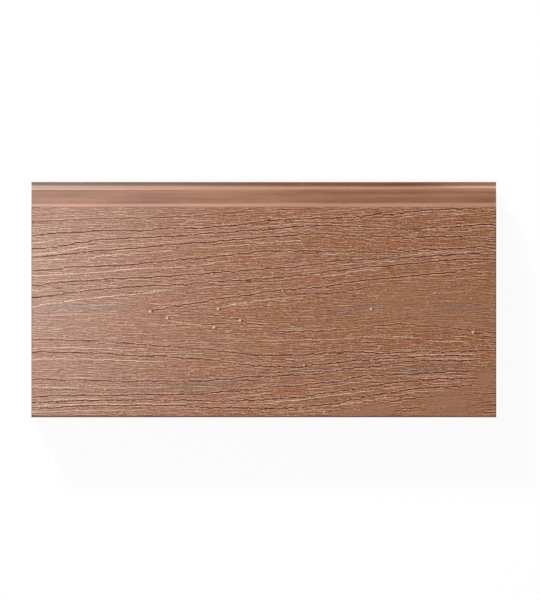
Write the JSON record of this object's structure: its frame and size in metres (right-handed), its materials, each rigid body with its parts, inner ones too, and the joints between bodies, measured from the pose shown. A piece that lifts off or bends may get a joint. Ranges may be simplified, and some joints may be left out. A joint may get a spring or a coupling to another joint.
{
  "type": "composite cladding board",
  "caption": "Hollow wood-plastic cladding board with a flat wood-grain face, a stepped tongue along one long edge and a matching groove along the other, for covering a wall.",
  "frame": {"origin": "middle of the board's length and overall width, on the plane of its back face", "axes": "+X along the board, +Y across it towards the tongue edge, +Z out of the wood-grain face"},
  "size_m": [0.308, 0.156, 0.021],
  "materials": {
    "composite": "matte"
  },
  "bodies": {
    "root": {"cladding_board": "composite"}
  },
  "joints": []
}
